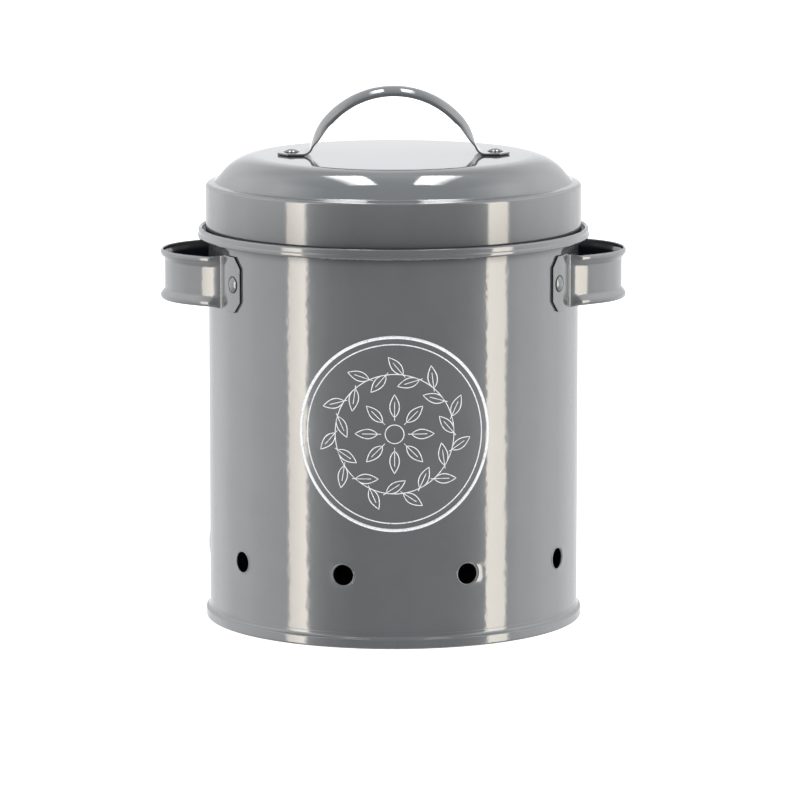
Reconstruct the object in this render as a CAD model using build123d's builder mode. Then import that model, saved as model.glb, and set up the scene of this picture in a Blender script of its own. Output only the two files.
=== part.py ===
from build123d import *
import os
from math import acos, atan2, cos, degrees, pi, radians, sin, sqrt, tan

os.makedirs("parts", exist_ok=True)

# Round vented tin with a lift-off lid, pressed from sheet steel and riveted together.
# All sizes are in millimetres. The origin is the middle of the base, +Z is up, the
# front looks toward -Y and a side handle stands out toward each of -X and +X.

# Sheet steel, and the room that every fold and riveted joint leaves
sheet = 0.6  # drum, base and lid
strap = 1.0  # the three handles
enamel = 0.05  # gap between sheets that are folded or riveted together
fold_share = 0.85  # bend of the tightest folds, as a share of one folded layer
hole_cut = 6.0  # depth of the cut for each hole, more than any sheet here

# Drum
drum_radius = 93.0  # outside of the wall
bin_height = 198.0  # to the top of the rolled rim
mouth_step = 3.5  # how much wider than the wall the mouth is, all round
shoulder_bend = 0.5
collar_bend = 0.6
rim_width = 2.5
rim_height = 5.1
rim_top_bend = 0.9
rim_lower_bend = 1.15

# Vent holes
vent_count = 8
vent_diameter = 10.5
vent_height = 36.2
vent_pitch = 38.4  # degrees, which leaves the widest space over the seam at the back
vent_turn = 2.4  # degrees by which the row stands off the front's middle

# Base and the folded seam that holds it
seam_height = 5.0
seam_bend = 0.7
hook_room = 0.4  # space beyond the tip of each folded hook
base_rise = 4.7  # underside of the base panel above the table
panel_step = 1.2  # raised middle of the base panel
panel_radius = 78.0
panel_bend = 1.2

# Lid
lid_depth = 4.4  # how far the lid drops into the mouth
lid_play = 1.6  # room between the lid and the mouth, all round
hem_height = 4.0
hem_width = 1.9
hem_bend = 0.35
band_height = 26.5  # from the seat to the ledge
band_bend = 1.1
ledge_width = 4.7
ledge_rise = 0.4
ledge_bend = 0.8
dome_rise = 13.8  # from the band's top to the flat top
dome_slope = 52.0  # degrees
dome_flank = 5.5  # straight part of the dome's side
crease_inset = 5.1  # from the dome's round to the raised middle
crease_rise = 0.3
crease_run = 0.8
crease_bend = 0.9

# Lid handle
handle_rise = 34.2  # crest above the lid's middle
handle_width = 22.0  # at the feet
crest_width = 15.0
crest_crown = 4.1  # how far the strap's edges curl down over the crest
leg_crown = 1.3  # and at the foot of each leg
crest_radius = 45.5
crest_half_angle = 48.0
leg_radius = 28.0
leg_slope = 73.0
foot_bend = 5.0
foot_lead = 0.4  # flat strap before the foot's bend
foot_rivet_setback = 5.3  # from the foot's bend to its rivet
toe_length = 7.0  # from the rivet to the end of the foot
toe_width = 8.0  # flat end of the foot
toe_chamfer = 5.0
arch_steps = 5  # sections in each bend of the arch

# Side handles
side_stand = 22.0  # outside of the grip beyond the drum's wall
bow_radius = 33.05  # outside of the grip's round middle, seen from above
bow_turn = 52.0  # degrees of that round, from the grip's middle to its shoulder
shoulder_run = 6.27  # straight part of the grip
shoulder_radius = 64.5  # outside of the slow bend that brings it to the tab
side_drop = 23.5  # from the top of the rolled rim down to the grip's middle
grip_height = 25.2
flare_out = 2.1  # how far the beads along the grip's upper and lower edges stand out
flare_rise = 2.0
bead_height = 1.4
lip_rise = 0.8
lip_in = 0.6
flare_bend = 2.0
bead_bend = 0.9
tab_height = 27.2
tab_length = 19.3
tab_rivet_inset = 6.4
tab_chamfer_up = 5.4
tab_chamfer_along = 5.0
tab_overlap = 0.4  # how far the tab reaches back into the grip

# Rivets
head_radius = 4.1
head_height = 1.5
head_rim = 0.3
shank_radius = 1.9
shank_clearance = 0.05
tail_radius = 3.1
tail_height = 1.1

# Where the sheets lie
layer = sheet + enamel
fold_bend = fold_share * layer
wall = drum_radius - sheet / 2
seat_height = bin_height - lid_depth
mouth_radius = drum_radius - sheet + mouth_step
collar = mouth_radius + sheet / 2
vent_angles = [
    -90 + vent_turn + vent_pitch * (number - (vent_count - 1) / 2)
    for number in range(vent_count)
]

# Where the lid's surfaces lie
lid_radius = mouth_radius - lid_play
band_top = seat_height + band_height
dome_foot_radius = lid_radius - ledge_width
dome_top = band_top + dome_rise
dome_run = radians(dome_slope)
dome_round = (dome_rise - ledge_rise - dome_flank * sin(dome_run)) / (1 - cos(dome_run))
flat_radius = dome_foot_radius - dome_flank * cos(dome_run) - dome_round * sin(dome_run)
crease_radius = flat_radius - crease_inset
lid_top = dome_top + crease_rise

# The arch of the lid handle, at the middle of its strap
foot_level = lid_top + enamel + strap / 2
crest_level = lid_top + handle_rise - strap / 2
crest_centre = Vector(0, 0, crest_level - crest_radius)
crest_end = radians(crest_half_angle)
leg_end = radians(leg_slope)
leg_centre = crest_centre + (crest_radius - leg_radius) * Vector(sin(crest_end), 0, cos(crest_end))
leg_foot = leg_centre + leg_radius * Vector(sin(leg_end), 0, cos(leg_end))
foot_bend_level = foot_level + foot_bend * (1 - cos(leg_end))
foot_bend_x = leg_foot.X + (leg_foot.Z - foot_bend_level) / tan(leg_end)
foot_top = Vector(foot_bend_x, 0, foot_bend_level) + foot_lead * Vector(-cos(leg_end), 0, sin(leg_end))
foot_x = foot_bend_x + foot_bend * sin(leg_end)
lid_rivet_x = foot_x + foot_rivet_setback
toe_x = lid_rivet_x + toe_length

# The side handles, seen from above
side_reach = drum_radius + side_stand
side_middle = bin_height - side_drop
tab_inside = drum_radius + enamel
tab_outside = tab_inside + strap
tab_middle = tab_inside + strap / 2
bow_middle = bow_radius - strap / 2
bow_centre = side_reach - bow_radius
shoulder_out = Vector(cos(radians(bow_turn)), sin(radians(bow_turn)), 0)
shoulder_along = Vector(-sin(radians(bow_turn)), cos(radians(bow_turn)), 0)
bow_end = Vector(bow_centre, 0, 0) + bow_middle * shoulder_out
shoulder_end = bow_end + shoulder_run * shoulder_along
shoulder_middle = shoulder_radius - strap / 2
shoulder_centre = shoulder_end - shoulder_middle * shoulder_out
centre_reach = sqrt(shoulder_centre.X**2 + shoulder_centre.Y**2)
fold_cosine = (tab_middle**2 - shoulder_middle**2 - centre_reach**2) / (
    2 * shoulder_middle * centre_reach
)
fold_turn = degrees(atan2(shoulder_centre.Y, shoulder_centre.X) + acos(fold_cosine))
fold_out = Vector(cos(radians(fold_turn)), sin(radians(fold_turn)), 0)
fold = shoulder_centre + shoulder_middle * fold_out
tab_start = degrees(atan2(fold.Y, fold.X))
tab_end = tab_start + degrees(tab_length / tab_middle)
side_rivet_angle = tab_end - degrees(tab_rivet_inset / tab_middle)


def facing(angle, radius, height):
    """A plane that looks straight out from the drum's axis, its own x axis upward."""
    outward = Vector(cos(radians(angle)), sin(radians(angle)), 0)
    return Plane(origin=radius * outward + Vector(0, 0, height), x_dir=(0, 0, 1), z_dir=outward)


side_rivet_seats = {
    "front_left_rivet": facing(180 + side_rivet_angle, tab_outside, side_middle),
    "rear_left_rivet": facing(180 - side_rivet_angle, tab_outside, side_middle),
    "front_right_rivet": facing(-side_rivet_angle, tab_outside, side_middle),
    "rear_right_rivet": facing(side_rivet_angle, tab_outside, side_middle),
}
lid_rivet_level = foot_level + strap / 2
lid_rivet_seats = {
    "left_lid_rivet": Plane(origin=(-lid_rivet_x, 0, lid_rivet_level)),
    "right_lid_rivet": Plane(origin=(lid_rivet_x, 0, lid_rivet_level)),
}

# The drum's sheet runs from the hook in the base seam, up the wall, out over the
# seat that the lid rests on, up the mouth and over into the rolled rim.
seam_web = sheet / 2 + layer
seat_web = seat_height - sheet / 2
rim_top = bin_height - sheet / 2
rim_outside = collar + rim_width - sheet
rim_bottom = bin_height - rim_height + sheet / 2
base_top_web = seam_height - sheet / 2
body_hook_tip = base_top_web - layer - hook_room
with BuildPart() as body_shell:
    with BuildSketch(Plane.XZ):
        with BuildLine():
            FilletPolyline(
                (wall + 2 * layer, body_hook_tip),
                (wall + 2 * layer, seam_web),
                (wall, seam_web),
                (wall, seat_web),
                (collar, seat_web),
                (collar, rim_top),
                (rim_outside, rim_top),
                (rim_outside, rim_bottom),
                (collar + layer, rim_bottom),
                radius=(
                    fold_bend,
                    fold_bend,
                    shoulder_bend,
                    collar_bend,
                    rim_top_bend,
                    rim_top_bend,
                    rim_lower_bend,
                ),
            )
        trace(line_width=sheet)
    revolve(axis=Axis.Z)
    with Locations(*[facing(angle, drum_radius, vent_height) for angle in vent_angles]):
        Cylinder(vent_diameter / 2, hole_cut, mode=Mode.SUBTRACT)
    with Locations(*side_rivet_seats.values()):
        Cylinder(shank_radius + shank_clearance, hole_cut, mode=Mode.SUBTRACT)
body_shell.part.label = "body_shell"
export_step(body_shell.part, "parts/body_shell.step")

# The base's sheet runs from the middle of the panel, down inside the drum, round
# under the drum's hook and back down inside it, which locks the two together.
panel_level = base_rise + sheet / 2
with BuildPart() as base_plate:
    with BuildSketch(Plane.XZ):
        with BuildLine():
            FilletPolyline(
                (0, panel_level + panel_step),
                (panel_radius, panel_level + panel_step),
                (panel_radius + panel_step, panel_level),
                (wall - layer, panel_level),
                (wall - layer, sheet / 2),
                (wall + 3 * layer, sheet / 2),
                (wall + 3 * layer, base_top_web),
                (wall + layer, base_top_web),
                (wall + layer, seam_web + layer + hook_room),
                radius=(
                    panel_bend,
                    panel_bend,
                    panel_bend,
                    seam_bend,
                    seam_bend,
                    fold_bend,
                    fold_bend,
                ),
            )
        trace(line_width=sheet)
    revolve(axis=Axis.Z)
base_plate.part.label = "base_plate"
export_step(base_plate.part, "parts/base_plate.step")

# The lid's sheet runs from the hem that rests on the drum's seat, up the band, in
# over the ledge and up the dome to the flat top with its raised middle.
band = lid_radius - sheet / 2
hem = lid_radius - hem_width + sheet / 2
dome_foot = (dome_foot_radius, band_top + ledge_rise - sheet / 2)
flank_end = (
    dome_foot_radius - dome_flank * cos(dome_run) - sheet / 2 * sin(dome_run),
    band_top + ledge_rise + dome_flank * sin(dome_run) - sheet / 2 * cos(dome_run),
)
with BuildPart() as lid_shell:
    with BuildSketch(Plane.XZ):
        with BuildLine():
            skirt = FilletPolyline(
                (hem, seat_height + hem_height),
                (hem, seat_height + sheet / 2),
                (band, seat_height + sheet / 2),
                (band, band_top - sheet / 2),
                dome_foot,
                flank_end,
                radius=(hem_bend, hem_bend, band_bend, ledge_bend),
            )
            dome = TangentArc(skirt @ 1, (flat_radius, dome_top - sheet / 2), tangent=skirt % 1)
            FilletPolyline(
                dome @ 1,
                (crease_radius + crease_run / 2, dome_top - sheet / 2),
                (crease_radius - crease_run / 2, lid_top - sheet / 2),
                (0, lid_top - sheet / 2),
                radius=crease_bend,
            )
        trace(line_width=sheet)
    revolve(axis=Axis.Z)
    with Locations(*lid_rivet_seats.values()):
        Cylinder(shank_radius + shank_clearance, hole_cut, mode=Mode.SUBTRACT)
lid_shell.part.label = "lid_shell"
export_step(lid_shell.part, "parts/lid_shell.step")


def arch_section(slope):
    """The plane across the arch where its strap slopes by that angle, its width and crown."""
    turn = radians(slope)
    side = 1 if slope > 0 else -1
    if abs(slope) <= crest_half_angle:
        middle = crest_centre + crest_radius * Vector(sin(turn), 0, cos(turn))
        width = crest_width
        crown = crest_crown
    else:
        middle = Vector(side * leg_centre.X, 0, leg_centre.Z)
        middle += leg_radius * Vector(sin(turn), 0, cos(turn))
        flat_share = (abs(slope) - crest_half_angle) / (leg_slope - crest_half_angle)
        width = crest_width + (handle_width - crest_width) * (1 - cos(pi * flat_share)) / 2
        crown = crest_crown + (leg_crown - crest_crown) * flat_share
    along = Vector(cos(turn), 0, -sin(turn))
    return Plane(origin=middle, x_dir=(0, 1, 0), z_dir=along), width, crown


def foot_section(side):
    """The plane across the arch where one leg turns into its foot and the strap is flat."""
    along = Vector(cos(leg_end), 0, -side * sin(leg_end))
    origin = (side * foot_top.X, 0, foot_top.Z)
    return Plane(origin=origin, x_dir=(0, 1, 0), z_dir=along), handle_width, 0


arch_slopes = [
    crest_half_angle * step / arch_steps for step in range(-arch_steps, arch_steps + 1)
]
for step in range(1, arch_steps + 1):
    slope = crest_half_angle + (leg_slope - crest_half_angle) * step / arch_steps
    arch_slopes = [-slope] + arch_slopes + [slope]
arch_sections = [arch_section(slope) for slope in arch_slopes]
arch_sections = [foot_section(-1)] + arch_sections + [foot_section(1)]

# One foot of the lid handle: the strap turns out of its leg and lies flat on the lid.
with BuildPart() as lid_foot:
    with BuildSketch(Plane.XZ):
        with BuildLine():
            FilletPolyline(
                (foot_top.X, foot_top.Z),
                (foot_x - foot_bend * tan(leg_end / 2), foot_level),
                (toe_x, foot_level),
                radius=foot_bend,
            )
        trace(line_width=strap)
    extrude(amount=handle_width / 2, both=True)
    toe = lid_foot.faces().sort_by(Axis.X)[-1]
    toe_cut = (handle_width - toe_width) / 2
    chamfer(toe.edges().filter_by(Axis.Z), length=toe_cut, length2=toe_chamfer, reference=toe)
    with Locations(lid_rivet_seats["right_lid_rivet"]):
        Cylinder(shank_radius + shank_clearance, hole_cut, mode=Mode.SUBTRACT)

# The lid handle is a strap bent into an arch. Over the crest it is narrow and its edges
# curl down; along the legs it widens and flattens, so that its two feet lie flat.
with BuildPart() as lid_handle:
    for plane, width, crown in arch_sections:
        with BuildSketch(plane):
            with BuildLine():
                if crown > 0:
                    ThreePointArc((-width / 2, -crown), (0, 0), (width / 2, -crown))
                else:
                    Line((-width / 2, 0), (width / 2, 0))
            trace(line_width=strap)
    loft()
    add(lid_foot.part)
    mirror(lid_foot.part, about=Plane.YZ)
lid_handle.part.label = "lid_handle"
export_step(lid_handle.part, "parts/lid_handle.step")

# A side handle's grip is a strap with a bead rolled along its upper and lower edges. It
# runs from one tab on the drum's wall to the other in a bow with straight shoulders.
lip_end = (grip_height - strap) / 2
bead_top = lip_end - lip_rise
bead_bottom = bead_top - bead_height
web_top = bead_bottom - flare_rise
with BuildSketch() as grip_section:
    with BuildLine():
        FilletPolyline(
            (flare_out - lip_in, lip_end),
            (flare_out, bead_top),
            (flare_out, bead_bottom),
            (0, web_top),
            (0, -web_top),
            (flare_out, -bead_bottom),
            (flare_out, -bead_top),
            (flare_out - lip_in, -lip_end),
            radius=(bead_bend, bead_bend, flare_bend, flare_bend, bead_bend, bead_bend),
        )
    trace(line_width=strap)


def across_grip(spot, outward):
    """The plane across the grip at a spot, its own x axis looking out from the drum."""
    origin = Vector(spot.X, spot.Y, side_middle)
    return Plane(origin=origin, x_dir=outward, z_dir=outward.cross(Vector(0, 0, 1)))


front = Vector(1, 0, 0)
with BuildPart() as grip_half:
    with BuildSketch(across_grip(Vector(bow_centre + bow_middle, 0, 0), front)):
        add(grip_section.sketch)
    revolve(axis=Axis((bow_centre, 0, 0), (0, 0, 1)), revolution_arc=bow_turn)
    with BuildSketch(across_grip(bow_end, shoulder_out)):
        add(grip_section.sketch)
    extrude(amount=-shoulder_run)
    with BuildSketch(across_grip(shoulder_end, shoulder_out)):
        add(grip_section.sketch)
    revolve(
        axis=Axis(tuple(shoulder_centre), (0, 0, 1)), revolution_arc=fold_turn - bow_turn
    )

# A tab is a plate bent to the wall, with its two far corners cut off and a rivet hole.
tab_turn = tab_end - tab_start + degrees(tab_overlap / tab_middle)
tab_edge = Vector(cos(radians(tab_end)), sin(radians(tab_end)), 0)
tab_plane = Plane(origin=(0, 0, side_middle), x_dir=tab_edge, z_dir=tab_edge.cross(Vector(0, 0, 1)))
with BuildPart() as tab:
    with BuildSketch(tab_plane):
        with Locations((tab_middle, 0)):
            Rectangle(strap, tab_height)
    revolve(axis=-Axis.Z, revolution_arc=tab_turn)
    end_face = tab.faces().filter_by(GeomType.PLANE).sort_by(Axis.Y)[-1]
    corners = end_face.edges().filter_by(Axis.Z, reverse=True)
    chamfer(corners, length=tab_chamfer_up, length2=tab_chamfer_along, reference=end_face)
    with Locations(side_rivet_seats["rear_right_rivet"]):
        Cylinder(shank_radius + shank_clearance, hole_cut, mode=Mode.SUBTRACT)

with BuildPart() as right_side_handle:
    add(grip_half.part)
    add(tab.part)
    mirror(about=Plane.XZ)
right_side_handle.part.label = "right_side_handle"
export_step(right_side_handle.part, "parts/right_side_handle.step")

with BuildPart() as left_side_handle:
    mirror(right_side_handle.part, about=Plane.YZ)
left_side_handle.part.label = "left_side_handle"
export_step(left_side_handle.part, "parts/left_side_handle.step")


def rivet(seat, grip):
    """A dome-headed rivet on the plane seat, closed behind sheets as thick as grip."""
    across = seat.x_dir
    section = Plane(origin=seat.origin, x_dir=across, z_dir=across.cross(seat.z_dir))
    with BuildPart() as piece:
        with BuildSketch(section):
            with BuildLine():
                head = TangentArc((0, head_height), (head_radius, head_rim), tangent=(1, 0))
                Polyline(
                    head @ 1,
                    (head_radius, 0),
                    (shank_radius, 0),
                    (shank_radius, -grip),
                    (tail_radius, -grip),
                    (tail_radius, -grip - tail_height),
                    (0, -grip - tail_height),
                    (0, head_height),
                )
            make_face()
        revolve(axis=Axis(seat.origin, seat.z_dir))
    return piece.part


drum_inside = drum_radius - sheet
side_grip = tab_outside - sqrt(drum_inside**2 - tail_radius**2)
lid_grip = strap + enamel + sheet
for name, seat in side_rivet_seats.items():
    side_rivet = rivet(seat, side_grip)
    side_rivet.label = name
    export_step(side_rivet, f"parts/{name}.step")
for name, seat in lid_rivet_seats.items():
    lid_rivet = rivet(seat, lid_grip)
    lid_rivet.label = name
    export_step(lid_rivet, f"parts/{name}.step")
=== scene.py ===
import math
import bmesh
import bpy
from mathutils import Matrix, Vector


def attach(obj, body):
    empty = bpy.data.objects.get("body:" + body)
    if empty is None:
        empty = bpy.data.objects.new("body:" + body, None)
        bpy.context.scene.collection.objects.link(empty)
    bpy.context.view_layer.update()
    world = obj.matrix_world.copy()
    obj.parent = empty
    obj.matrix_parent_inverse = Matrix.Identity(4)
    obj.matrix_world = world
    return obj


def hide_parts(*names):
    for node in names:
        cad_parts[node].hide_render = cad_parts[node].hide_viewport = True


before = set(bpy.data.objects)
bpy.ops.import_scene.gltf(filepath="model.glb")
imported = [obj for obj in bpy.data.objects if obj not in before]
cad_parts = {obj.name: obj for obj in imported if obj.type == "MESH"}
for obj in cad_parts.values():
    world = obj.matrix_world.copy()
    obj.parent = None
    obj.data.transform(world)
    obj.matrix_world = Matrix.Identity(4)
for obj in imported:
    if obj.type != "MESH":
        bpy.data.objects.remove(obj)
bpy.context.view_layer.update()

# Drum: one sheet of steel rolled up and welded down the back, turned out at the foot for
# the base seam, and flared at the mouth into a seat for the lid and a rolled rim. The
# vents are punched before it is dipped in grey enamel, which leaves every edge soft.
MM = 0.001
sheet = 0.6
half_sheet = sheet / 2
layer = 0.65  # one folded layer of sheet
wall = 92.7  # middle of the drum's sheet
seat = 193.6
mouth = 96.2
bin_top = 198.0
vent_radius = 5.25
vent_height = 36.2
vent_count = 8
vent_pitch = 38.4
vent_start = -222.0
drum_columns = 375
window = 6  # columns each side of a vent that its round patch takes up
window_rise = 7.8
on_axis = 1e-6  # a point nearer the axis than this lies on it


def add_node(tree, kind, inputs=None, **settings):
    """A node with its settings, and its inputs linked to sockets or set to values."""
    made = tree.nodes.new(kind)
    for key, value in settings.items():
        setattr(made, key, value)
    for socket, value in (inputs or {}).items():
        if isinstance(value, bpy.types.NodeSocket):
            tree.links.new(value, made.inputs[socket])
        else:
            made.inputs[socket].default_value = value
    return made


def maths(tree, operation, first, second=0.0, third=0.0):
    """The result of one sum on two or three sockets or numbers."""
    return add_node(tree, "ShaderNodeMath", {0: first, 1: second, 2: third},
                    operation=operation).outputs[0]


def remap(tree, value, low, high, to_low=0.0, to_high=1.0):
    """A value carried from one range to another and held at its ends."""
    return add_node(tree, "ShaderNodeMapRange", {
        "Value": value, "From Min": low, "From Max": high,
        "To Min": to_low, "To Max": to_high}).outputs["Result"]


def vector(tree, **parts):
    """A vector from its parts X, Y and Z."""
    return add_node(tree, "ShaderNodeCombineXYZ", parts).outputs[0]


def noise(tree, place, scale, detail, roughness=0.5):
    """The value of a cloudy noise at each place."""
    return add_node(tree, "ShaderNodeTexNoise", {
        "Vector": place, "Scale": scale, "Detail": detail,
        "Roughness": roughness}).outputs["Fac"]


def blend(tree, factor, first, second, **settings):
    """One colour mixed into another by a factor."""
    return add_node(tree, "ShaderNodeMix", {"Factor": factor, 6: first, 7: second},
                    data_type="RGBA", **settings).outputs[2]


def bend_sheet(corners, bends, arc_step=9.0, ease=0.3):
    """The middle line of a bent sheet: its points, each with the way out of its face."""
    corners = [Vector(corner) for corner in corners]
    runs = [after - before for before, after in zip(corners, corners[1:])]
    ways = [run.normalized() for run in runs]
    turns = [math.atan2(a.cross(b), a.dot(b)) for a, b in zip(ways, ways[1:])]
    reaches = [bend * math.tan(abs(turn) / 2) for bend, turn in zip(bends, turns)]
    reaches = [0.0] + reaches + [0.0]
    spare = [run.length - reaches[i] - reaches[i + 1] for i, run in enumerate(runs)]
    line = [(corners[0], Vector((ways[0].y, -ways[0].x)))]
    for i, (bend, turn) in enumerate(zip(bends, turns)):
        out = Vector((ways[i].y, -ways[i].x))
        start = corners[i + 1] - ways[i] * reaches[i + 1]
        side = 1 if turn > 0 else -1
        centre = start - side * out * bend
        line.append((start - ways[i] * min(ease, spare[i] * 0.3), out))
        steps = max(2, math.ceil(abs(math.degrees(turn)) / arc_step))
        for step in range(steps + 1):
            part = turn * step / steps
            turned_out = Vector((out.x * math.cos(part) - out.y * math.sin(part),
                                 out.x * math.sin(part) + out.y * math.cos(part)))
            line.append((centre + side * turned_out * bend, turned_out))
        line.append((line[-1][0] + ways[i + 1] * min(ease, spare[i + 1] * 0.3), line[-1][1]))
    line.append((corners[-1], Vector((ways[-1].y, -ways[-1].x))))
    return line


def skin(line, thickness):
    """The closed outline of a sheet about its middle line, with round edges."""
    half = thickness / 2
    tips = []
    for (end, out), side in ((line[-1], 1), (line[0], -1)):
        ahead = Vector((-out.y, out.x)) * side
        turns = [math.radians(a) for a in (30, 60, 90, 120, 150)]
        tips.append([] if end.x < on_axis else [
            end + (out * math.cos(turn) * side + ahead * math.sin(turn)) * half
            for turn in turns])
    outer = [point + out * half for point, out in line]
    inner = [point - out * half for point, out in reversed(line)]
    return outer + tips[0] + inner + tips[1]


def add_object(name, data):
    """A new object in the scene."""
    made = bpy.data.objects.new(name, data)
    bpy.context.collection.objects.link(made)
    return made


def make_piece(name, points, faces, material, shade=None):
    """A smooth closed piece from points in millimetres, facing outward, with painted shade in its
    nooks.
    """
    mesh = bpy.data.meshes.new(name)
    mesh.from_pydata([Vector(point) * MM for point in points], [], faces)
    work = bmesh.new()
    work.from_mesh(mesh)
    bmesh.ops.remove_doubles(work, verts=work.verts, dist=1e-7)
    bmesh.ops.recalc_face_normals(work, faces=work.faces)
    if work.calc_volume(signed=True) < 0:
        bmesh.ops.reverse_faces(work, faces=work.faces)
    for face in work.faces:
        face.smooth = True
    work.to_mesh(mesh)
    work.free()
    if shade:
        painted_shades = mesh.attributes.new("shade", "FLOAT", "POINT")
        for vertex, painted_shade in zip(mesh.vertices, painted_shades.data):
            painted_shade.value = shade(vertex.co / MM, vertex.normal)
    mesh.materials.append(material)
    return add_object(name, mesh)


def turn_outline(outline, columns, start=0.0, leave_out=lambda column, row: False):
    """Points and faces of an outline turned round the tin's axis."""
    points, faces, ids = [], [], {}
    for row, point in enumerate(outline):
        if point.x < on_axis:
            points.append((0, 0, point.y))
            for column in range(columns):
                ids[column, row] = len(points) - 1
            continue
        for column in range(columns):
            angle = math.radians(start + 360 * column / columns)
            ids[column, row] = len(points)
            points.append((point.x * math.cos(angle), point.x * math.sin(angle), point.y))
    rows = len(outline)
    for row in range(rows):
        for column in range(columns):
            if leave_out(column, row):
                continue
            beside, above = (column + 1) % columns, (row + 1) % rows
            corners = [ids[column, row], ids[beside, row], ids[beside, above], ids[column, above]]
            corners = list(dict.fromkeys(corners))
            if len(corners) > 2:
                faces.append(corners)
    return points, faces, ids


def enamel(name, colour, dented, worn_low=None, worn_high=None):
    """Glossy baked enamel: faintly mottled, with a soft orange peel over dented sheet."""
    material = bpy.data.materials.new(name)
    material.use_nodes = True
    tree = material.node_tree
    tree.nodes.clear()
    place = add_node(tree, "ShaderNodeTexCoord").outputs["Object"]
    clouds = noise(tree, place, 38.0, 4.0, 0.55)
    grains = noise(tree, place, 2600.0, 2.0)
    tint = add_node(tree, "ShaderNodeValToRGB", {"Fac": clouds})
    tint.color_ramp.elements[0].position = 0.3
    tint.color_ramp.elements[1].position = 0.7
    tint.color_ramp.elements[0].color = [c * 0.95 for c in colour] + [1]
    tint.color_ramp.elements[1].color = [c * 1.05 for c in colour] + [1]
    fleck = maths(tree, "MULTIPLY", remap(tree, grains, 0.70, 0.76), 0.25)
    base = blend(tree, fleck, tint.outputs["Color"], [min(1, c * 1.5) for c in colour] + [1])
    wear = None
    height = add_node(tree, "ShaderNodeSeparateXYZ", {"Vector": place}).outputs["Z"]
    scuffs = noise(tree, place, 420.0, 6.0, 0.7)
    wear_reach = 0.9  # from a worn edge to where the wear ends
    peel_depth = 0.0022
    for level, side in ((worn_low, -1), (worn_high, 1)):
        if level is None:
            continue
        near = remap(tree, height, (level - side * wear_reach) * MM, level * MM)
        spots = remap(tree, maths(tree, "MULTIPLY_ADD", near, 0.16, scuffs), 0.70, 0.76)
        worn = maths(tree, "MULTIPLY", spots, near)
        base = blend(tree, worn, base, (0.045, 0.045, 0.048, 1))
        wear = worn if wear is None else maths(tree, "MAXIMUM", wear, worn)
    # Painted shade: where a piece's shade attribute is set, the colour goes near black and the
    # gloss dims.
    painted_shade = add_node(tree, "ShaderNodeAttribute", attribute_name="shade").outputs["Fac"]
    base = blend(tree, painted_shade, base, (0.012, 0.013, 0.018, 1))
    roughness = remap(tree, clouds, 0.3, 0.7, 0.045, 0.075)
    if wear is not None:
        roughness = maths(tree, "MULTIPLY_ADD", wear, 0.35, roughness)
    uneven = noise(tree, place, 190.0, 2.0, 0.45)
    peel = noise(tree, place, 700.0, 1.0)
    dents = add_node(tree, "ShaderNodeBump",
                     {"Strength": 1.0, "Distance": dented * MM, "Height": uneven}).outputs["Normal"]
    ripple = add_node(tree, "ShaderNodeBump",
                      {"Strength": 1.0, "Distance": peel_depth * MM, "Height": peel,
                       "Normal": dents}).outputs["Normal"]
    gloss = add_node(tree, "ShaderNodeBsdfPrincipled",
                     {"Base Color": base, "Roughness": roughness, "IOR": 1.5, "Normal": ripple,
                      "Specular IOR Level": maths(tree, "MULTIPLY_ADD", painted_shade, -0.42, 0.5)})
    add_node(tree, "ShaderNodeOutputMaterial", {"Surface": gloss.outputs["BSDF"]})
    return material


grey = (0.118, 0.121, 0.125)
drum_enamel = enamel("drum_enamel", grey, dented=0.06, worn_low=0.7, worn_high=197.8)
drum_line = bend_sheet(
    [(wall + 2 * layer, 3.6), (wall + 2 * layer, 0.95), (wall, 0.95), (wall, seat - half_sheet),
     (mouth, seat - half_sheet), (mouth, bin_top - half_sheet), (97.8, bin_top - half_sheet),
     (97.75, 195.2), (98.1, 194.5), (98.1, 193.2), (mouth + layer, 193.2)],
    [0.55, 0.55, 0.55, 0.6, 0.9, 0.95, 0.5, 0.6, 0.55], arc_step=13.0)
foot_row = next(i for i, ((p, _), (q, _)) in enumerate(zip(drum_line, drum_line[1:]))
                if (q - p).length > 100)
below_vents = [12, 20]
vent_levels = [vent_height + window_rise * step / window for step in range(-window, window + 1)]
above_vents = [60, 85, 110, 135, 160, 180, 187, 188.5, 189.5, 190.5, 191.3, 192, 192.5]
drum_line[foot_row + 1:foot_row + 1] = [
    (Vector((wall, z)), Vector((1, 0))) for z in below_vents + vent_levels + above_vents]
drum_outline = skin(drum_line, sheet)
# the first row of a vent's patch, outside and inside the drum
first_out = foot_row + 1 + len(below_vents)
first_in = next(i for i, p in enumerate(drum_outline)
                if abs(p.x - wall + half_sheet) < 1e-4 and abs(p.y - vent_levels[-1]) < 1e-4)
first_middle = window + 4
vent_middles = [round(vent_pitch * n * drum_columns / 360) + first_middle
                for n in range(vent_count)]
drum_turn = vent_start - first_middle * 360 / drum_columns


def in_vent(column, row):
    """Whether a face of the drum lies in a square that a vent takes up."""
    near = any((column - middle + window) % drum_columns < 2 * window for middle in vent_middles)
    return near and any(first <= row < first + 2 * window for first in (first_out, first_in))


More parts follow.
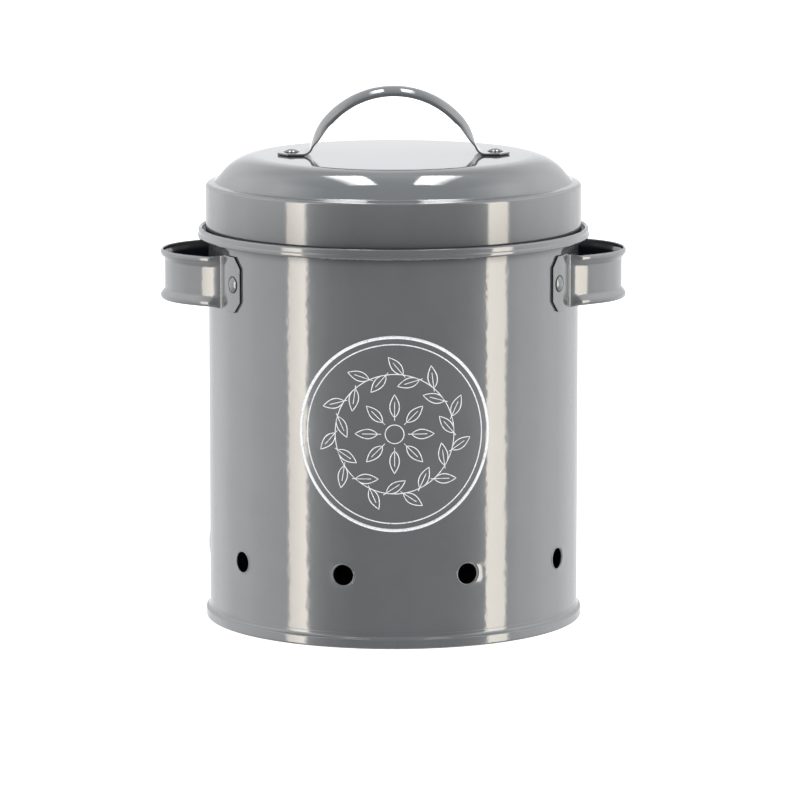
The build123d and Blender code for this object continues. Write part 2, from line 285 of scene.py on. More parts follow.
points, faces, ids = turn_outline(drum_outline, drum_columns, drum_turn, in_vent)
around = ([(window, step) for step in range(window)]
          + [(window - step, window) for step in range(2 * window)]
          + [(-window, window - step) for step in range(2 * window)]
          + [(step - window, -window) for step in range(2 * window)]
          + [(window, step - window) for step in range(window)])
drawn_out = 0.2  # punching draws a vent's edge outward by this
for middle in vent_middles:
    centre = math.radians(drum_turn + 360 * middle / drum_columns)
    rings = [[ids[(middle + across) % drum_columns, first_out + window + up]
              for across, up in around]]
    closing = [(share, half_sheet) for share in (0.2, 0.4, 0.55, 0.7, 0.82, 0.92, 1.0)]
    closing += [(1.0, 0.0)] + [(share, -out) for share, out in reversed(closing)]
    for share, out in closing:
        ring = []
        for step, (across, up) in enumerate(around):
            square = Vector((math.radians(360 / drum_columns * across) * wall,
                             up * window_rise / window))
            part = 2 * math.pi * step / len(around)
            disc = Vector((math.cos(part), math.sin(part))) * (vent_radius + half_sheet)
            spot = square.lerp(disc, share)
            angle = centre + spot.x / wall
            radius = wall + out + drawn_out * share**3
            ring.append(len(points))
            points.append((radius * math.cos(angle), radius * math.sin(angle),
                           vent_height + spot.y))
        rings.append(ring)
    rings.append([ids[(middle + across) % drum_columns, first_in + window - up]
                  for across, up in around])
    for near, far in zip(rings, rings[1:]):
        for step in range(len(around)):
            after = (step + 1) % len(around)
            faces.append([near[step], near[after], far[after], far[step]])


def under_rim(spot, facing):
    """How deep the outside of the wall lies in the rim's shade."""
    depth, reach = 0.75, 5.0  # just under the rim, and how far down the shade fades out
    outside = facing.x * spot.x + facing.y * spot.y > 0
    if outside and spot.z < seat and math.hypot(spot.x, spot.y) < 94:
        return depth * max(0.0, 1 - (seat - 0.4 - spot.z) / reach) ** 1.6
    return 0.0


drum = make_piece("drum", points, faces, drum_enamel, under_rim)
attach(drum, "bin")
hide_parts("body_shell")

# Vent lips: the enamel draws up into a thin bead round the raw edge of each punched vent.
# The row is laid out flat along a line and then wrapped round the drum.


def geometry_tree(name, sizes):
    """A tree with inputs for geometry and for the sizes that it names, and their sockets."""
    tree = bpy.data.node_groups.new(name, "GeometryNodeTree")
    tree.interface.new_socket("Geometry", in_out="INPUT", socket_type="NodeSocketGeometry")
    for size, value in sizes.items():
        kind = "NodeSocketInt" if isinstance(value, int) else "NodeSocketFloat"
        tree.interface.new_socket(size, in_out="INPUT", socket_type=kind).default_value = value
    tree.interface.new_socket("Geometry", in_out="OUTPUT", socket_type="NodeSocketGeometry")
    return tree, tree.nodes.new("NodeGroupInput").outputs


def hoop(tree, radius, resolution):
    """A circle of that radius."""
    return add_node(tree, "GeometryNodeCurvePrimitiveCircle",
                    {"Resolution": resolution, "Radius": radius}).outputs[0]


def wrap_on_drum(tree, geometry, radius, turn, height):
    """Lays flat geometry, which looks along +Z, on the drum's wall."""
    spot = add_node(tree, "ShaderNodeSeparateXYZ",
                    {"Vector": add_node(tree, "GeometryNodeInputPosition").outputs[0]}).outputs
    angle = maths(tree, "ADD", maths(tree, "DIVIDE", spot["X"], radius), turn)
    out = maths(tree, "ADD", spot["Z"], radius)
    wrapped = vector(tree, X=maths(tree, "MULTIPLY", out, maths(tree, "COSINE", angle)),
                     Y=maths(tree, "MULTIPLY", out, maths(tree, "SINE", angle)),
                     Z=maths(tree, "ADD", spot["Y"], height))
    return add_node(tree, "GeometryNodeSetPosition",
                    {"Geometry": geometry, "Position": wrapped}).outputs[0]


def close_tree(tree, geometry, material):
    """Ends a tree: real geometry, smooth, in its material."""
    real = add_node(tree, "GeometryNodeRealizeInstances", {"Geometry": geometry}).outputs[0]
    smooth = add_node(tree, "GeometryNodeSetShadeSmooth", {"Geometry": real}).outputs[0]
    painted = add_node(tree, "GeometryNodeSetMaterial", {"Geometry": smooth, "Material": material})
    tree.links.new(painted.outputs[0], tree.nodes.new("NodeGroupOutput").inputs[0])


def settle(piece, tree, sizes, thickness=None):
    """Runs a tree on a piece with these sizes and keeps the result as its plain mesh."""
    grown = piece.modifiers.new(tree.name, "NODES")
    grown.node_group = tree
    for item in tree.interface.items_tree:
        if item.name in sizes:
            grown[item.identifier] = sizes[item.name]
    if thickness:
        solid = piece.modifiers.new("thickness", "SOLIDIFY")
        solid.thickness = thickness
        solid.offset = 1.0
    bpy.context.view_layer.update()
    shown = piece.evaluated_get(bpy.context.evaluated_depsgraph_get())
    mesh = bpy.data.meshes.new_from_object(shown)
    piece.modifiers.clear()
    piece.data = mesh


sizes = {"Vents": vent_count, "Pitch": math.radians(vent_pitch) * wall * MM,
         "Lip Radius": 5.5 * MM, "Bead": 0.42 * MM, "Wall": (wall + 0.22) * MM,
         "First Turn": math.radians(vent_start), "Height": vent_height * MM}
tree, given = geometry_tree("vent_lips", sizes)
row = add_node(tree, "GeometryNodeMeshLine",
               {"Count": given["Vents"], "Offset": vector(tree, X=given["Pitch"])}).outputs[0]
lip = add_node(tree, "GeometryNodeCurveToMesh",
               {"Curve": hoop(tree, given["Lip Radius"], 72),
                "Profile Curve": hoop(tree, given["Bead"], 14)}).outputs[0]
lips = add_node(tree, "GeometryNodeInstanceOnPoints", {"Points": row, "Instance": lip}).outputs[0]
lips = add_node(tree, "GeometryNodeRealizeInstances", {"Geometry": lips}).outputs[0]
lips = wrap_on_drum(tree, lips, given["Wall"], given["First Turn"], given["Height"])
close_tree(tree, lips, drum_enamel)
vent_lips = add_object("vent_lips", bpy.data.meshes.new("vent_lips"))
settle(vent_lips, tree, sizes)
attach(vent_lips, "bin")

# Base: a pressed disc of the same sheet, stepped up in the middle and recessed above the
# table. Its edge is folded round the drum's turned-out foot, which makes the base seam.
base_line = bend_sheet(
    [(0, 6.2), (78, 6.2), (79.2, 5.0), (wall - layer, 5.0), (wall - layer, half_sheet),
     (wall + 3 * layer, half_sheet), (wall + 3 * layer, 4.7), (wall + layer, 4.7),
     (wall + layer, 2.2)],
    [1.2, 1.2, 1.2, 0.7, 0.7, 0.55, 0.55])
points, faces, _ = turn_outline(skin(base_line, sheet), 360)
base = make_piece("base", points, faces, drum_enamel)
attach(base, "bin")
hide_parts("base_plate")

# Seam fillet: the enamel that pools in the crease where the base seam meets the wall.
pooled = [Vector((93.35, 3.6)), Vector((94.2, 4.4)), Vector((94.62, 4.62))]
on_seam, crease, on_wall = Vector((94.45, 4.98)), Vector((93.2, 5.3)), Vector((93.01, 7.6))
for t in [step / 8 for step in range(9)]:
    pooled.append(on_seam.lerp(crease, t).lerp(crease.lerp(on_wall, t), t))
pooled += [Vector((92.9, 7.7)), Vector((92.9, 4.2))]
points, faces, _ = turn_outline(pooled, 360)
seam_fillet = make_piece("seam_fillet", points, faces, drum_enamel)
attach(seam_fillet, "bin")

# Side handles: a strap of thicker steel each, beaded along both edges and bent into a bow.
# Its two ends turn back onto the drum as tabs with clipped corners, which are riveted.
strap = 1.0
tab = 93.55  # middle of the tab's strap, from the drum's axis
tab_end = 34.69  # degrees round the drum from the grip's middle
grip_reach = 114.5
bow_radius = 35.3  # of the grip's round middle, seen from above
bow_turn = math.radians(50)
shoulder_bends = ((58.0, 63.0), (22.0, 68.6))  # radius and last turn of each bend to the tab
fold_radius = 3.0
flattening = 5.0  # how far before the fold the beads start to flatten out
fold_height = 12.9  # half the strap's height at the fold, and on the tab
tab_height = 13.6
tab_clip = (5.0, 5.4)  # along and up each clipped corner
side_height = 174.5
handle_enamel = enamel("handle_enamel", grey, dented=0.03)
grip_line = bend_sheet(
    [(1.6, -12.1), (2.1, -11.4), (2.1, -10.3), (0, -7.6),
     (0, 7.6), (2.1, 10.3), (2.1, 11.4), (1.6, 12.1)],
    [0.85, 1.1, 2.6, 2.6, 1.1, 0.85])


def strap_rim(line, thickness):
    """Points round a strap: place across it from -1 to 1, which face, how far past the edge."""
    lengths = [0.0]
    for (a, _), (b, _) in zip(line, line[1:]):
        lengths.append(lengths[-1] + (b - a).length)
    spread = [2 * length / lengths[-1] - 1 for length in lengths]
    half = thickness / 2
    rim = [(i, spread[i], half, 0.0) for i in range(len(line))]
    ends = [(math.cos(math.radians(a)) * half, math.sin(math.radians(a)) * half * 0.6)
            for a in (30, 60, 90, 120, 150)]
    rim += [(len(line) - 1, 1.0, face, past) for face, past in ends]
    rim += [(i, spread[i], -half, 0.0) for i in reversed(range(len(line)))]
    rim += [(0, -1.0, -face, -past) for face, past in ends]
    return rim


def strap_faces(rings):
    """Faces that join rings of points along a strap and close its two ends."""
    around = len(rings[0])
    faces = []
    for first in range(0, (len(rings) - 1) * around, around):
        for step in range(around):
            after = (step + 1) % around
            faces.append([first + step, first + after,
                          first + around + after, first + around + step])
    faces.append(list(range(around)))
    faces.append([len(rings) * around - 1 - step for step in range(around)])
    return faces


def plan_grip():
    """Half of a grip from above, with how flat it lies, and the angle where its tab starts."""
    plan = [(Vector((grip_reach - bow_radius * (1 - math.cos(a)), bow_radius * math.sin(a))), a)
            for a in [bow_turn * step / 32 for step in range(33)]]
    bends, turned, reach = [], bow_turn, Vector((0, 0))
    for radius, ends in shoulder_bends:
        sweep = math.radians(ends) - turned
        for a in [turned + sweep * step / 12 for step in range(1, 13)]:
            bends.append((reach + radius * Vector((math.cos(a) - math.cos(turned),
                                                   math.sin(a) - math.sin(turned))), a))
        reach, turned = bends[-1]
    # the straight run before the bends is as long as it takes for the fold to meet the drum
    run_start = plan[-1][0]
    along_run = Vector((-math.sin(bow_turn), math.cos(bow_turn)))
    hub = run_start + reach + fold_radius * Vector((math.cos(turned), math.sin(turned)))
    ahead = hub.dot(along_run)
    run = -ahead - math.sqrt(ahead**2 - hub.length_squared + (tab + fold_radius) ** 2)
    plan += [(run_start + along_run * run * step / 4, bow_turn) for step in (1, 2, 3, 4)]
    plan += [(run_start + along_run * run + spot, a) for spot, a in bends]
    fold = plan[-1][0]
    flats = [max(0.0, 1 - (fold - spot).length / flattening) for spot, _ in plan] + [1.0] * 12
    hub += along_run * run
    fold_angle = math.atan2(hub.y, hub.x)
    for step in range(1, 13):
        a = turned + (fold_angle - turned) * step / 12
        plan.append((hub - fold_radius * Vector((math.cos(a), math.sin(a))), a))
    return [(spot, a, flat * flat * (3 - 2 * flat))
            for (spot, a), flat in zip(plan, flats)], fold_angle


grip_plan, tab_start = plan_grip()


def half_bow(index, spread, face, past):
    """One fibre of a side handle, from the middle of the grip to the end of the tab."""
    middle, out = grip_line[index]
    along = Vector((-out.y, out.x))
    across = middle + out * face + along * past
    fibre = []
    for spot, a, flat in grip_plan:
        stand = across.x * (1 - flat) + face * flat
        z = across.y * (1 - flat) + (spread * fold_height + past) * flat
        fibre.append((spot + Vector((math.cos(a), math.sin(a))) * stand, z))
    last = math.radians(tab_end)
    clip = tab_clip[0] / tab
    for mark in (0.04, 0.12, 0.3, 0.6, 0.9, 1.0):
        angle = tab_start + (last - clip - tab_start) * mark
        tall = fold_height + (tab_height - fold_height) * min(1.0, mark * 8)
        fibre.append((Vector((math.cos(angle), math.sin(angle))) * (tab + face),
                      spread * tall + past))
    for mark in (0.03, 0.2, 0.4, 0.6, 0.8, 0.95, 0.985, 1.0):
        angle = last - clip * (1 - mark)
        thin = 1.0 if mark < 0.98 else (0.86 if mark < 1 else 0.55)  # the raw end is eased
        tall = tab_height - tab_clip[1] * mark
        fibre.append((Vector((math.cos(angle), math.sin(angle))) * (tab + face * thin),
                      spread * tall + past))
    return [(spot.x, spot.y, side_height + z) for spot, z in fibre]


def inside_bow(spot, facing):
    """How much painted shade lies inside a grip, which the drum shades, and on each tab's raw end
    in shadow.
    """
    side = 1 if spot.x > 0 else -1
    tab_share = math.degrees(math.atan2(abs(spot.y), abs(spot.x))) / tab_end
    if spot.xy.length < tab + 0.6 and tab_share > 0.66:
        outward = (facing.x * spot.x + facing.y * spot.y) / spot.xy.length
        return 0.95 if outward < 0.75 and tab_share > 0.8 else 0.0
    under_lip = min(1.0, max(0.0, (side_height + 11.2 - spot.z) / 3.0))
    return min(1.0, max(0.0, -facing.x * side * 2.5)) * under_lip


rim = strap_rim(grip_line, strap)
rings = [list(ring) for ring in zip(*[half_bow(*place) for place in rim])]
rings = [[(x, -y, z) for x, y, z in ring] for ring in reversed(rings)] + rings[1:]
faces = strap_faces(rings)
for side, name in ((1, "right_side_handle"), (-1, "left_side_handle")):
    points = [(side * x, y, z) for ring in rings for x, y, z in ring]
    bow = make_piece(name.replace("side_handle", "bow"), points, faces, handle_enamel, inside_bow)
    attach(bow, "bin")
    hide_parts(name)

# Side rivets: four dome-headed steel rivets, one through each tab, with their tails
# flattened inside the drum. They are set before the tin is dipped, so enamel covers them.
rivet_enamel = enamel("rivet_enamel", grey, dented=0.02)


def rivet_outline(shank):
    """Outline of a rivet about its own axis, seated at height 0 and closed below its shank."""
    dome, crown = 6.2, 1.5  # the radius and the height of the head
    head = [Vector((dome * math.sin(a), crown - dome * (1 - math.cos(a)))) for a in
            [math.radians(27 * step / 12) for step in range(13)]]
    # A thin ring round the foot of the head, out to 4.3 mm just over the seat, carries painted
    # shadow on the tab.
    return head + [Vector(p) for p in (
        (3.2, 0.61), (3.55, 0.41), (3.7, 0.31), (3.85, 0.18), (3.95, 0.06), (4.05, 0.02),
        (4.25, 0.02), (4.3, -0.02), (4.25, -0.05), (1.9, -0.06), (1.9, -shank), (2.95, -shank),
        (3.1, -shank - 0.15), (3.1, -shank - 0.85), (2.9, -shank - 1.05), (1.4, -shank - 1.1),
        (0, -shank - 1.1))]


def under_head(spot, facing):
    """How deep the painted shade is at a point in the crevice under a rivet's head."""
    return min(1.0, max(0.0, (0.36 - spot.z) / 0.16)) if spot.z > -0.1 else 0.0


def points_round(tree, count, radius, angle, height=0.0):
    """Points on a circle, each at its own angle."""
    spots = vector(tree, X=maths(tree, "MULTIPLY", radius, maths(tree, "COSINE", angle)),
                   Y=maths(tree, "MULTIPLY", radius, maths(tree, "SINE", angle)), Z=height)
    return add_node(tree, "GeometryNodePoints", {"Count": count, "Position": spots}).outputs[0]


points, faces, _ = turn_outline(rivet_outline(1.7), 48)
side_rivets = make_piece("side_rivets", points, faces, rivet_enamel, under_head)
sizes = {"Rivets": 4, "Seat": 94.05 * MM, "Height": side_height * MM, "Spread": math.radians(30.77)}
tree, given = geometry_tree("side_rivets", sizes)
index = add_node(tree, "GeometryNodeInputIndex").outputs[0]
front_or_rear = maths(tree, "MULTIPLY_ADD", maths(tree, "MODULO", index, 2.0), 2.0, -1.0)
right_or_left = maths(tree, "FLOOR", maths(tree, "DIVIDE", index, 2.0))
half_turn = maths(tree, "MULTIPLY", right_or_left, math.pi)
angle = maths(tree, "MULTIPLY_ADD", front_or_rear, given["Spread"], half_turn)
seats = points_round(tree, given["Rivets"], given["Seat"], angle, given["Height"])
set_rivets = add_node(tree, "GeometryNodeInstanceOnPoints", {
    "Points": seats, "Instance": given["Geometry"],
    "Rotation": vector(tree, Y=math.pi / 2, Z=angle)}).outputs[0]
close_tree(tree, set_rivets, rivet_enamel)
settle(side_rivets, tree, sizes)
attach(side_rivets, "bin")
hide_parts("front_left_rivet", "rear_left_rivet", "front_right_rivet",
            "rear_right_rivet")

# Printed roundel: white enamel, screen printed on the front and fired. Two plain rings
# hold a wreath of outlined leaves round an open flower, all drawn in thin lines.
print_white = bpy.data.materials.new("print_white")
print_white.use_nodes = True
tree = print_white.node_tree
tree.nodes.clear()
place = add_node(tree, "ShaderNodeTexCoord").outputs["Object"]
thin = noise(tree, place, 900.0, 5.0)
ink = add_node(tree, "ShaderNodeValToRGB", {"Fac": thin})
ink.color_ramp.elements[0].position = 0.28
ink.color_ramp.elements[0].color = (0.5, 0.52, 0.54, 1)
ink.color_ramp.elements[1].position = 0.46
ink.color_ramp.elements[1].color = (0.9, 0.92, 0.94, 1)
edge = add_node(tree, "ShaderNodeBump",
                {"Strength": 0.6, "Distance": 0.01 * MM, "Height": thin}).outputs["Normal"]
gloss = add_node(tree, "ShaderNodeBsdfPrincipled", {
    "Base Color": ink.outputs["Color"], "Roughness": remap(tree, thin, 0.0, 1.0, 0.16, 0.3),
    "Normal": edge})
add_node(tree, "ShaderNodeOutputMaterial", {"Surface": gloss.outputs["BSDF"]})

leaf_long = 11.5
leaf_wide = 5.0
leaf_stroke = 0.42
vein_share = 0.72  # of the leaf's length
vein_half_stroke = 0.18
stalk = 1.6
leaf_points, leaf_faces = [], []


def add_ribbon(pairs):
    """Adds a ribbon of faces between pairs of points to the leaf."""
    first = len(leaf_points)
    leaf_points.extend(point for pair in pairs for point in pair)
    leaf_faces.extend([a, a + 2, a + 3, a + 1] for a in range(first, len(leaf_points) - 2, 2))


for side in (-1, 1):
    outline = []
    for t in [step / 24 for step in range(25)]:
        swell = math.sin(math.pi * t ** 0.85) ** 0.9 if 0 < t < 1 else 0.0
        outer = side * leaf_wide / 2 * swell
        inner = side * max(0.0, leaf_wide / 2 * swell - leaf_stroke)
        outline.append([(leaf_long * t, outer + side * 0.06, 0), (leaf_long * t, inner, 0)])
    add_ribbon(outline)
vein = []
for t in [step / 6 * vein_share for step in range(7)]:
    x = leaf_long * t - stalk * (1 - t)
    vein.append([(x, vein_half_stroke, 0), (x, -vein_half_stroke, 0)])
add_ribbon(vein)
mesh = bpy.data.meshes.new("roundel")
mesh.from_pydata([Vector(p) * MM for p in leaf_points], [], leaf_faces)
roundel = add_object("roundel", mesh)
sizes = {"Outer Ring": 47.7 * MM, "Outer Line": 1.5 * MM, "Inner Ring": 44.2 * MM,
         "Inner Line": 0.6 * MM, "Wreath": 29.5 * MM, "Wreath Line": 0.42 * MM, "Leaves": 22,
         "Petals": 8, "Flower": 8.2 * MM, "Flower Heart": 4.6 * MM, "Heart Line": 0.45 * MM,
         "Wall": 93.03 * MM, "Turn": math.radians(-91.3), "Height": 106.7 * MM}
tree, given = geometry_tree("roundel", sizes)


def drawn(curve, width):
    """A curve drawn as a flat line of that width."""
    stroke = add_node(tree, "GeometryNodeCurvePrimitiveLine", {
        "Start": vector(tree, X=maths(tree, "MULTIPLY", width, -0.5)),
        "End": vector(tree, X=maths(tree, "MULTIPLY", width, 0.5))}).outputs[0]
    return add_node(tree, "GeometryNodeCurveToMesh",
                    {"Curve": curve, "Profile Curve": stroke}).outputs[0]


def set_round(count, radius, *leans):
    """Leaves set round a circle, each turned from the way out by its leans."""
    turn = maths(tree, "MULTIPLY", index, maths(tree, "DIVIDE", 2 * math.pi, count))
    seats = points_round(tree, count, radius, turn)
    for lean in leans:
        turn = maths(tree, "ADD", turn, lean)
    return add_node(tree, "GeometryNodeInstanceOnPoints", {
        "Points": seats, "Instance": given["Geometry"],
        "Rotation": vector(tree, Z=turn)}).outputs[0]


index = add_node(tree, "GeometryNodeInputIndex").outputs[0]
to_and_fro = maths(tree, "MULTIPLY_ADD", maths(tree, "MODULO", index, 2.0), -1.45, 0.72)
line_art = add_node(tree, "GeometryNodeJoinGeometry")
for part in (drawn(hoop(tree, given["Outer Ring"], 240), given["Outer Line"]),
             drawn(hoop(tree, given["Inner Ring"], 240), given["Inner Line"]),
             drawn(hoop(tree, given["Wreath"], 240), given["Wreath Line"]),
             drawn(hoop(tree, given["Flower Heart"], 60), given["Heart Line"]),
             set_round(given["Leaves"], given["Wreath"], to_and_fro, math.pi / 2),
             set_round(given["Petals"], given["Flower"])):
    tree.links.new(part, line_art.inputs[0])
flat_art = add_node(tree, "GeometryNodeRealizeInstances",
                    {"Geometry": line_art.outputs[0]}).outputs[0]
wrapped_art = wrap_on_drum(tree, flat_art, given["Wall"], given["Turn"], given["Height"])
close_tree(tree, wrapped_art, print_white)
settle(roundel, tree, sizes, thickness=0.05 * MM)
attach(roundel, "bin")

# Lid: one sheet pressed in a die. A hem turns in under the band and rests on the drum's
# seat, and a narrow ledge runs in to the domed shoulder and the nearly flat top.
band_top = 220.1
dome_top = 233.9
lid_top = 234.2
lid_enamel = enamel("lid_enamel", grey, dented=0.02)
slope = math.radians(52)
flank = 5.5
ledge_end = 89.6
band = 94.0  # middle of the band's sheet
hem = 92.7
crown = 0.3  # how far the middle of the top stands above its edge
flank_top = Vector((ledge_end - flank * math.cos(slope) - half_sheet * math.sin(slope),
                    band_top + 0.4 + flank * math.sin(slope) - half_sheet * math.cos(slope)))
skirt = bend_sheet(
    [(hem, seat + 4.0), (hem, seat + half_sheet), (band, seat + half_sheet),
     (band, band_top - 0.4), (ledge_end - 0.1, band_top + 0.4), tuple(flank_top)],
    [0.35, 0.35, 1.7, 2.2])
shoulder = []
dome = (dome_top - half_sheet - flank_top.y) / (1 - math.cos(slope))
for step in range(1, 41):
    lean = slope * (1 - step / 40)
    shoulder.append((Vector((flank_top.x - dome * (math.sin(slope) - math.sin(lean)),
                             dome_top - half_sheet - dome * (1 - math.cos(lean)))),
                     Vector((math.sin(lean), math.cos(lean)))))
shoulder_end = shoulder[-1][0]
lid_line = skirt + shoulder
for step in range(1, 13):
    reach = shoulder_end.x * (1 - step / 12)
    swell = crown * (1 - (reach / shoulder_end.x) ** 2)
    lid_line.append((Vector((reach, dome_top - half_sheet + swell)), Vector((0, 1))))
points, faces, _ = turn_outline(skin(lid_line, sheet), 450)


def in_mouth(spot, facing):
    """How deep the foot of the lid's band lies in the shade of the drum's mouth."""
    depth, reach = 0.3, 9.0  # at the foot, and how far up the shade fades out
    return depth * max(0.0, 1 - (spot.z - seat) / reach) if spot.xy.length > 92 else 0.0


lid = make_piece("lid", points, faces, lid_enamel, in_mouth)
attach(lid, "lid")
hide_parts("lid_shell")

# Lid handle: a strap of thicker steel, narrow over the crest where its edges curl down,
# bent into an arch and turned out flat into wide feet with clipped toes for the rivets.
half_width = 11.0
crest_half_width = 7.5
rolled_under = math.radians(110)  # how far the strap's edges turn over the crest
crest_centre = Vector((0, 222.4))
crest_radius = 45.5
leg_radius = 28.0
foot_radius = 5.0
crest_slope = math.radians(48)
leg_slope = math.radians(73)
leg_centre = crest_centre + (crest_radius - leg_radius) * Vector(
    (math.sin(crest_slope), math.cos(crest_slope)))
leg_foot = leg_centre + leg_radius * Vector((math.sin(leg_slope), math.cos(leg_slope)))
foot_level = lid_top + 0.55
bend_top = foot_level + foot_radius * (1 - math.cos(leg_slope))
bend_x = leg_foot.x + (leg_foot.y - bend_top) / math.tan(leg_slope)
foot_x = bend_x + foot_radius * math.sin(leg_slope)
toe_x = foot_x + 12.3
rivet_x = foot_x + 5.3
toe_clip = (5.0, 7.0)  # along and across each clipped corner
arch = []  # stations: place, slope, how far the edges curl and half the width
for step in range(49):
    a = crest_slope * step / 48
    arch.append((crest_centre + crest_radius * Vector((math.sin(a), math.cos(a))), a,
                 1.0, crest_half_width))
for step in range(1, 25):
    a = crest_slope + (leg_slope - crest_slope) * step / 24
    widening = (1 - math.cos(math.pi * step / 24)) / 2 * (half_width - crest_half_width)
    arch.append((leg_centre + leg_radius * Vector((math.sin(a), math.cos(a))), a,
                 1.0 - 0.7 * step / 24, crest_half_width + widening))
for step in range(1, 7):
    spot = leg_foot.lerp(Vector((bend_x, bend_top)), step / 6)
    arch.append((spot, leg_slope, 0.3 * (1 - step / 6) ** 1.2, half_width))
for step in range(1, 17):
    a = leg_slope * (1 - step / 16)
    arch.append((Vector((foot_x - foot_radius * math.sin(a),
                         foot_level + foot_radius * (1 - math.cos(a)))), a, 0.0, half_width))
clip_x = toe_x - toe_clip[0]
for mark in (0.1, 0.5, 0.9, 1.0):
    arch.append((Vector((foot_x + (clip_x - foot_x) * mark, foot_level)), 0.0, 0.0, half_width))
for mark in (0.03, 0.25, 0.5, 0.75, 0.94, 0.98, 1.0):
    arch.append((Vector((clip_x + toe_clip[0] * mark, foot_level)), 0.0, 0.0,
                 half_width - toe_clip[1] * mark))
lanes = 60  # across half the strap, of which every second has a point
cross = [(Vector((y, 0.0)), Vector((0, 1))) for y in
         [half_width * (2 * lane / lanes - 1) for lane in range(lanes + 1)]]
rim = strap_rim(cross, strap)
rings = []
for number, (spot, lean, curl, width) in enumerate(arch):
    out = Vector((math.sin(lean), math.cos(lean)))
    thin = 0.8 if number == len(arch) - 1 else 1.0
    # the strap tilts gently from its middle and turns hard over at its edges
    tilts = [rolled_under * curl * (0.45 * t + 0.55 * max(0.0, t - 0.7) ** 2 / 0.09)
             for t in [(lane + 0.5) / lanes for lane in range(lanes)]]
    reaches, sags = [0.0], [0.0]
    for tilt in tilts:
        reaches.append(reaches[-1] + math.cos(tilt) / lanes)
        sags.append(sags[-1] + math.sin(tilt) / lanes)
    scale = (width - strap / 2 * min(1.0, curl)) / max(reaches)
    ring = []
    for _, spread, face, past in rim:
        lane = min(lanes, round(abs(spread) * lanes))
        side = 1 if spread > 0 else -1
        tilt = tilts[min(lanes - 1, lane)]
        y = side * (scale * reaches[lane] + face * thin * math.sin(tilt)
                    + abs(past) * math.cos(tilt))
        drop = (face * thin * math.cos(tilt) - scale * sags[lane]
                - abs(past) * math.sin(tilt))
        place = spot + out * drop
        ring.append((place.x, y, place.y))
    rings.append(ring)
rings = [[(-x, y, z) for x, y, z in ring] for ring in reversed(rings)] + rings[1:]
points = [point for ring in rings for point in ring]
faces = strap_faces(rings)
lid_arch = make_piece("lid_arch", points, faces, handle_enamel)
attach(lid_arch, "lid")
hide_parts("lid_handle")

# Lid rivets: one through each foot of the lid handle, like those at the sides.
points, faces, _ = turn_outline(rivet_outline(1.65), 48)
lid_rivets = make_piece("lid_rivets", points, faces, rivet_enamel, under_head)
sizes = {"Rivets": 2, "Reach": rivet_x * MM, "Level": (foot_level + strap / 2) * MM}
tree, given = geometry_tree("lid_rivets", sizes)
row = add_node(tree, "GeometryNodeMeshLine", {
    "Count": given["Rivets"],
    "Start Location": vector(tree, X=maths(tree, "MULTIPLY", given["Reach"], -1.0),
                             Z=given["Level"]),
    "Offset": vector(tree, X=maths(tree, "MULTIPLY", given["Reach"], 2.0))}).outputs[0]
set_rivets = add_node(tree, "GeometryNodeInstanceOnPoints",
                      {"Points": row, "Instance": given["Geometry"]}).outputs[0]
close_tree(tree, set_rivets, rivet_enamel)
settle(lid_rivets, tree, sizes)
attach(lid_rivets, "lid")
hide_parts("left_lid_rivet", "right_lid_rivet")

# Studio: a white floor that runs on behind the tin, under soft light from all round. Tall
# warm strip lights at both sides and two long ones overhead show in the glossy enamel.
mesh = bpy.data.meshes.new("floor")
mesh.from_pydata([(-30, -30, 0), (30, -30, 0), (30, 30, 0), (-30, 30, 0)], [], [(0, 1, 2, 3)])
floor = add_object("floor", mesh)
floor_white = bpy.data.materials.new("floor_white")
floor_white.use_nodes = True
floor_gloss = floor_white.node_tree.nodes["Principled BSDF"]
floor_gloss.inputs["Base Color"].default_value = (0.8, 0.8, 0.8, 1)
floor_gloss.inputs["Roughness"].default_value = 0.9
floor_gloss.inputs["Emission Color"].default_value = (1, 1, 1, 1)
floor_gloss.inputs["Emission Strength"].default_value = 0.8
mesh.materials.append(floor_white)
floor.visible_glossy = False

studio = bpy.data.worlds.new("studio")
bpy.context.scene.world = studio
studio.use_nodes = True
tree = studio.node_tree
tree.nodes.clear()
way = add_node(tree, "ShaderNodeSeparateXYZ",
               {"Vector": add_node(tree, "ShaderNodeTexCoord").outputs["Generated"]}).outputs
azimuth = maths(tree, "ARCTAN2", way["X"], maths(tree, "MULTIPLY", way["Y"], -1.0))
yaw = 1.7  # the camera's turn to the side in degrees, which the lights share
round_share = maths(tree, "MULTIPLY_ADD", azimuth, 0.5 / math.pi, 0.5 + yaw / 360)
panels = add_node(tree, "ShaderNodeValToRGB", {"Fac": round_share})
ramp = panels.color_ramp
brightness = 20.0
room_tone = (1.0, 1.01, 1.03)
strip_tone = (1.02, 0.96, 0.86)
strip_glow = 10.0  # a stop that glows more than this is on a strip light
stops = [(-178, 1.3), (-168, 1.08), (-150, 1.5), (-133, 2.3), (-119, 2.7), (-104, 3.4),
         (-80, 3.6), (-69.1, 3.6), (-68.0, 11.5), (-55.5, 16.0), (-54.4, 3.5), (-49, 2.0),
         (-39, 1.05), (-24, 0.55), (10, 0.55), (37, 0.85), (48, 1.3), (56, 2.1), (59.4, 3.4),
         (60.5, 15.0), (73.6, 13.0), (74.9, 3.2), (86, 3.7), (108, 3.4), (122.4, 2.65),
         (123.2, 2.2), (124, 2.55), (138, 2.05), (153, 1.45), (168, 1.08), (180, 1.3)]
while len(ramp.elements) < len(stops):
    ramp.elements.new(0.5)
for element, (turn, _) in zip(ramp.elements, stops):
    element.position = (turn + 180) / 360
for element, (_, glow) in zip(ramp.elements, stops):
    tone = strip_tone if glow > strip_glow else room_tone
    element.color = [glow / brightness * part for part in tone] + [1]
above_strips = remap(tree, way["Z"], 0.3, 0.5)
room = blend(tree, above_strips, panels.outputs["Color"], [3.7 / brightness] * 3 + [1],
             blend_type="DARKEN")  # no strip light shows this high
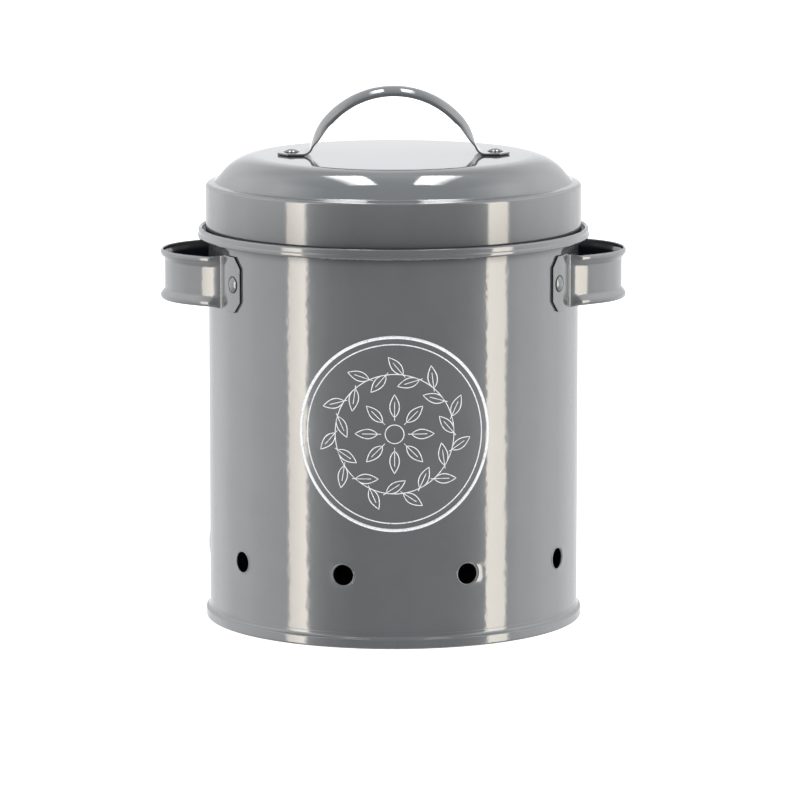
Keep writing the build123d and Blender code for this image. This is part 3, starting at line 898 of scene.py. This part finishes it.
lift = remap(tree, way["Z"], 0.08, 0.5, 1.0, 1.45)
room = add_node(tree, "ShaderNodeVectorMath", {0: room, "Scale": lift},
                operation="SCALE").outputs[0]
ceiling = [2.7 / brightness * part for part in (0.93, 1.02, 1.06)] + [1]
room = blend(tree, remap(tree, way["Z"], 0.72, 0.88), room, ceiling)
room = blend(tree, remap(tree, way["Z"], -0.25, -0.6), room, [1.2 / brightness] * 3 + [1])
lamp_inner, lamp_outer, lamp_faded = 0.111, 0.22, 0.31  # sideways, per unit of height
lamp_half_length = 0.32
lamps_shift = 0.012
across = maths(tree, "ADD", maths(tree, "DIVIDE", way["X"], way["Z"]), -lamps_shift)
across = maths(tree, "ABSOLUTE", across)
back = maths(tree, "DIVIDE", way["Y"], way["Z"])
lamps = maths(tree, "MULTIPLY", maths(tree, "GREATER_THAN", across, lamp_inner),
              remap(tree, across, lamp_faded, lamp_outer))
lamps = maths(tree, "MULTIPLY", lamps,
              maths(tree, "COMPARE", back, lamp_half_length, lamp_half_length))
lamps = maths(tree, "MULTIPLY", lamps, maths(tree, "GREATER_THAN", way["Z"], 0.0))
room = blend(tree, lamps, room, (1, 1, 1, 1))
ray = add_node(tree, "ShaderNodeLightPath").outputs
reflections = add_node(tree, "ShaderNodeBackground", {"Color": room, "Strength": brightness})
soft_light = add_node(tree, "ShaderNodeBackground", {"Color": (1, 1, 1, 1), "Strength": 0.66})
lit = add_node(tree, "ShaderNodeMixShader",
               {0: ray["Is Glossy Ray"], 1: soft_light.outputs[0], 2: reflections.outputs[0]})
backdrop = add_node(tree, "ShaderNodeBackground", {"Color": (1, 1, 1, 1), "Strength": 1.3})
whole = add_node(tree, "ShaderNodeMixShader",
                 {0: ray["Is Camera Ray"], 1: lit.outputs[0], 2: backdrop.outputs[0]})
add_node(tree, "ShaderNodeOutputWorld", {"Surface": whole.outputs[0]})

# Camera: a long lens from the front, a little above the tin, as the photograph was taken.
lens = bpy.data.cameras.new("camera")
lens.sensor_width = 36.0
lens.lens = 234.1
camera = add_object("camera", lens)
camera_turn = math.radians(yaw)
tilt_down = 8.898
distance = 2.5967
aside = 0.00328
camera.location = (-distance * math.sin(camera_turn) + aside * math.cos(camera_turn),
                   -distance * math.cos(camera_turn) - aside * math.sin(camera_turn), 0.5156)
camera.rotation_euler = (math.radians(90 - tilt_down), 0, -camera_turn)
lens.clip_start = 0.05
lens.clip_end = 100
bpy.context.scene.camera = camera
bpy.context.scene.view_settings.view_transform = "Standard"
